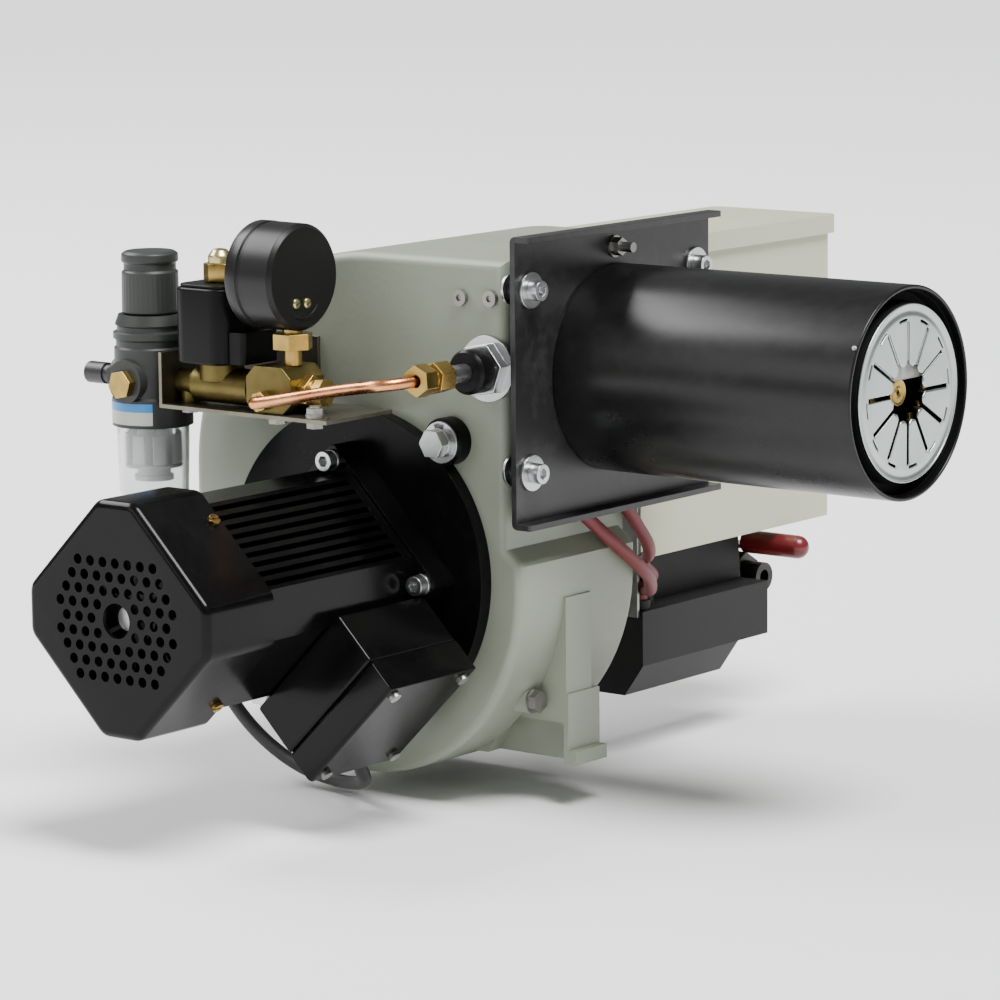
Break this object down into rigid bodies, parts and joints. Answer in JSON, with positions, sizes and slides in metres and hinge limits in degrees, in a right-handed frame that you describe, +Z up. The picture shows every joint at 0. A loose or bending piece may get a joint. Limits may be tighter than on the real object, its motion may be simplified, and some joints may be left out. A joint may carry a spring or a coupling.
{
  "type": "diesel burner",
  "caption": "Small oil burner with air atomising: blast tube on a flange, cast fan scroll, finned motor, air regulator and valve train, control box and ignition transformer.",
  "frame": {"origin": "where the blast tube's axis meets the front face of the flange plate", "axes": "+X along the blast tube towards the flame, -Y towards the motor, +Z up"},
  "size_m": [0.4225, 0.5315, 0.2936],
  "materials": {
    "tube_black": "satin black paint",
    "housing_grey": "light grey enamel on cast aluminium",
    "box_cream": "cream powder coat",
    "motor_black": "gloss black paint",
    "gauge_black": "semi-gloss black",
    "zinc": "bright zinc plate",
    "bracket_zinc": "dull zinc plate",
    "steel": "bare steel",
    "brass": "machined brass",
    "copper": "bare copper",
    "grey_plastic": "moulded dark grey",
    "black_plastic": "moulded black",
    "white_plastic": "white",
    "clear_plastic": "clear moulding",
    "red_plastic": "red dip coating",
    "red_rubber": "red silicone",
    "black_rubber": "black sheath",
    "ceramic": "glazed ceramic",
    "aluminium": "sheet aluminium",
    "lamination": "steel laminations"
  },
  "bodies": {
    "burner": {"blast_tube": "tube_black", "flange_plate": "tube_black", "flange_screws": "zinc", "flange_spacers": "tube_black", "diffuser_disc": "steel", "nozzle": "brass", "nozzle_holder": "steel", "electrode_insulators": "ceramic", "electrode_pins": "steel", "housing_motor_side": "housing_grey", "housing_inlet_side": "housing_grey", "duct_side_cover": "housing_grey", "housing_screws": "zinc", "motor_plate": "motor_black", "motor_body": "motor_black", "end_bell": "motor_black", "stator_core": "lamination", "motor_bearings": "steel", "fan_cover": "motor_black", "cover_screws": "brass", "motor_bolts": "zinc", "terminal_box": "motor_black", "terminal_lid": "motor_black", "capacitor": "white_plastic", "motor_lead": "black_rubber", "valve_bracket": "bracket_zinc", "regulator_body": "grey_plastic", "regulator_bowl": "clear_plastic", "filter_element": "white_plastic", "air_elbow": "black_plastic", "solenoid_valve_body": "brass", "solenoid_coil": "black_plastic", "coil_nut": "brass", "coil_plug": "black_plastic", "manifold_block": "brass", "gauge_case": "gauge_black", "gauge_lens": "clear_plastic", "gauge_stem": "brass", "copper_pipe": "copper", "brass_fittings": "brass", "bulkhead_fitting": "zinc", "mounting_plates": "bracket_zinc", "control_box": "box_cream", "control_lid": "box_cream", "transformer": "black_plastic", "ignition_leads": "red_rubber", "fuel_valve_body": "brass", "fuel_pipe": "copper"},
    "rotor": {"motor_shaft": "steel", "impeller": "aluminium", "rotor_core": "lamination", "cooling_fan": "black_plastic"},
    "knob": {"regulator_knob": "grey_plastic"},
    "drain": {"drain_knob": "black_plastic"},
    "valve_plunger": {"plunger": "steel"},
    "needle": {"gauge_needle": "red_plastic"},
    "lever": {"fuel_lever": "steel", "lever_grip": "red_plastic"},
    "shutter": {"air_shutter": "zinc"},
    "button": {"reset_button": "red_plastic"}
  },
  "joints": [
    {"name": "rotor_spin", "type": "hinge", "parent": "burner", "child": "rotor", "pos_m": [-0.103, -0.1, -0.101], "axis": [0, 1, 0], "continuous": true},
    {"name": "regulator_turn", "type": "hinge", "parent": "burner", "child": "knob", "pos_m": [-0.205, -0.118, 0.04], "axis": [0, 0, 1], "range_deg": [-150, 150]},
    {"name": "drain_turn", "type": "hinge", "parent": "burner", "child": "drain", "pos_m": [-0.205, -0.118, -0.085], "axis": [0, 0, 1], "range_deg": [0, 90]},
    {"name": "plunger_lift", "type": "slide", "parent": "burner", "child": "valve_plunger", "axis": [0, 0, 1], "range_m": [0, 0.003], "stiffness_N_per_m": 200, "springref_m": -0.002},
    {"name": "gauge_reading", "type": "hinge", "parent": "burner", "child": "needle", "pos_m": [-0.1275, -0.118, 0.0495], "axis": [1, 0, 0], "range_deg": [0, 270]},
    {"name": "fuel_lever_turn", "type": "hinge", "parent": "burner", "child": "lever", "pos_m": [-0.086, 0.212, -0.124], "axis": [0, 0, 1], "range_deg": [0, 90]},
    {"name": "shutter_turn", "type": "hinge", "parent": "burner", "child": "shutter", "pos_m": [-0.103, 0.023, -0.101], "axis": [0, 1, 0], "range_deg": [0, 60]},
    {"name": "reset_press", "type": "slide", "parent": "burner", "child": "button", "axis": [0, -1, 0], "range_m": [0, 0.003], "stiffness_N_per_m": 300, "springref_m": -0.001}
  ]
}
